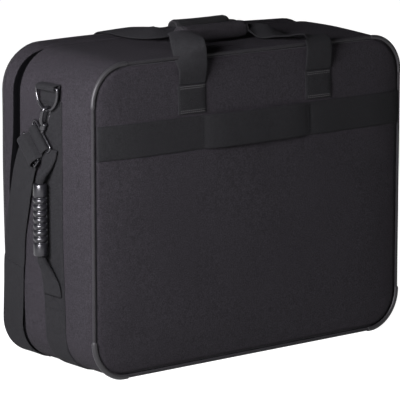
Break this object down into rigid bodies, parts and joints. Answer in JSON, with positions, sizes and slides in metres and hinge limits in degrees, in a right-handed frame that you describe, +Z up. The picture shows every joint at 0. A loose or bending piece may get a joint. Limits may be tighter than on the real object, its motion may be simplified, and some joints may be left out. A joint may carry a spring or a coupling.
{
  "type": "portfolio case",
  "caption": "Deep padded soft carrying case with zip-around lid, carry handles, side grips, luggage sleeve and clip-on shoulder strap.",
  "frame": {"origin": "centre of the footprint, on the surface the case stands on", "axes": "+Z up; X along the width; the rear panel with the luggage sleeve faces -Y and the lid faces +Y"},
  "size_m": [0.653, 0.2449, 0.4965],
  "materials": {
    "case_fabric": "tight plain weave polyester, dark purplish charcoal, matt with a faint sheen",
    "webbing": "ribbed neutral black webbing with stitch rows",
    "piping": "satin binding tape over a cord",
    "guard": "mid-grey leathercloth, softly shiny, worn at the edge",
    "foam": "closed-cell foam sheet",
    "board": "fibreboard stiffener with foam",
    "lining": "brushed tricot lining",
    "zip": "woven zip tape with nylon coil",
    "wrap_fabric": "padded fabric wrap with stitched binding",
    "wrap_webbing": "webbing folded double and stitched",
    "grip_plastic": "ribbed moulded grip, semi-gloss",
    "metal": "glossy black enamel on cast and wire fittings"
  },
  "bodies": {
    "case_body": {"rear_panel": "case_fabric", "rear_board": "board", "body_gusset": "case_fabric", "body_foam": "foam", "body_lining": "lining", "rear_piping": "piping", "corner_guard_upper_left": "guard", "corner_guard_upper_right": "guard", "corner_guard_lower_left": "guard", "corner_guard_lower_right": "guard", "sleeve_strap": "webbing", "girth_webbing": "webbing", "body_zip_tape": "zip", "rear_anchor_left": "webbing", "rear_anchor_right": "webbing", "ring_tab_left": "webbing", "ring_tab_right": "webbing", "strap_upper_left": "webbing", "strap_upper_right": "webbing"},
    "lid": {"lid_rim": "case_fabric", "lid_panel": "case_fabric", "lid_foam": "foam", "lid_lining": "lining", "lid_zip_tape": "zip", "hinge_fabric": "case_fabric", "lid_anchor_left": "webbing", "lid_anchor_right": "webbing"},
    "rear_handle": {"rear_handle_webbing": "webbing", "rear_handle_wrap": "wrap_fabric"},
    "lid_handle": {"lid_handle_webbing": "webbing", "lid_handle_wrap": "wrap_webbing"},
    "slider_a": {"zip_slider_a": "metal"},
    "pull_a": {"zip_pull_a": "metal"},
    "slider_b": {"zip_slider_b": "metal"},
    "pull_b": {"zip_pull_b": "metal"},
    "sling": {"strap_sling": "webbing"},
    "grip_left": {"side_grip_left": "grip_plastic", "grip_webbing_left": "webbing"},
    "ring_left": {"d_ring_left": "metal", "strap_eye_left": "metal", "strap_end_left": "webbing", "strap_adjuster_left": "metal"},
    "hook_left": {"snap_hook_left": "metal"},
    "gate_left": {"hook_gate_left": "metal"},
    "grip_right": {"side_grip_right": "grip_plastic", "grip_webbing_right": "webbing"},
    "ring_right": {"d_ring_right": "metal", "strap_eye_right": "metal", "strap_end_right": "webbing", "strap_adjuster_right": "metal"},
    "hook_right": {"snap_hook_right": "metal"},
    "gate_right": {"hook_gate_right": "metal"}
  },
  "joints": [
    {"name": "lid_hinge", "type": "hinge", "parent": "case_body", "child": "lid", "pos_m": [0, 0.067, 0.0021], "axis": [-1, 0, 0], "range_deg": [0, 140], "deforming": ["strap_sling", "hinge_fabric"]},
    {"name": "sling_shift", "type": "slide", "parent": "case_body", "child": "sling", "axis": [0, -1, 0], "range_m": [0, 0.052], "deforming": ["strap_sling"]},
    {"name": "zip_slide_a", "type": "slide", "parent": "case_body", "child": "slider_a", "axis": [-1, 0, 0], "range_m": [0, 0.197]},
    {"name": "zip_slide_b", "type": "slide", "parent": "case_body", "child": "slider_b", "axis": [1, 0, 0], "range_m": [0, 0.223]},
    {"name": "pull_hinge_a", "type": "hinge", "parent": "slider_a", "child": "pull_a", "pos_m": [-0.028, 0.067, 0.46255], "axis": [0, 1, 0], "range_deg": [0, 120]},
    {"name": "pull_hinge_b", "type": "hinge", "parent": "slider_b", "child": "pull_b", "pos_m": [-0.002, 0.067, 0.46255], "axis": [0, -1, 0], "range_deg": [0, 120]},
    {"name": "rear_handle_swing", "type": "hinge", "parent": "case_body", "child": "rear_handle", "pos_m": [0, -0.1165, 0.4222], "axis": [1, 0, 0], "range_deg": [0, 150]},
    {"name": "lid_handle_swing", "type": "hinge", "parent": "lid", "child": "lid_handle", "pos_m": [0, 0.1185, 0.4222], "axis": [-1, 0, 0], "range_deg": [0, 150]},
    {"name": "grip_swing_left", "type": "hinge", "parent": "case_body", "child": "grip_left", "pos_m": [-0.3037, -0.013, 0.23], "axis": [0, 0, 1], "range_deg": [-15, 40]},
    {"name": "ring_swing_left", "type": "hinge", "parent": "case_body", "child": "ring_left", "pos_m": [-0.3075, -0.02, 0.423], "axis": [0, 1, 0], "range_deg": [0, 40], "deforming": ["strap_upper_left"]},
    {"name": "hook_swivel_left", "type": "hinge", "parent": "ring_left", "child": "hook_left", "pos_m": [-0.3075, -0.02, 0.39], "axis": [0, -0.342, 0.9397], "range_deg": [-20, 20]},
    {"name": "gate_press_left", "type": "hinge", "parent": "hook_left", "child": "gate_left", "pos_m": [-0.3005, -0.0135, 0.37215], "axis": [0, 0.9397, 0.342], "range_deg": [-24, 0], "stiffness_Nm_per_rad": 0.05},
    {"name": "grip_swing_right", "type": "hinge", "parent": "case_body", "child": "grip_right", "pos_m": [0.3037, -0.013, 0.23], "axis": [0, 0, -1], "range_deg": [-15, 40]},
    {"name": "ring_swing_right", "type": "hinge", "parent": "case_body", "child": "ring_right", "pos_m": [0.3075, -0.02, 0.423], "axis": [0, -1, 0], "range_deg": [0, 40], "deforming": ["strap_upper_right"]},
    {"name": "hook_swivel_right", "type": "hinge", "parent": "ring_right", "child": "hook_right", "pos_m": [0.3075, -0.02, 0.39], "axis": [0, -0.342, 0.9397], "range_deg": [-20, 20]},
    {"name": "gate_press_right", "type": "hinge", "parent": "hook_right", "child": "gate_right", "pos_m": [0.3005, -0.0135, 0.37215], "axis": [0, -0.9397, -0.342], "range_deg": [-24, 0], "stiffness_Nm_per_rad": 0.05}
  ],
  "couplings": [
    {"joint": "sling_shift", "follows": "lid_hinge", "m_per_rad": 0.020872}
  ]
}
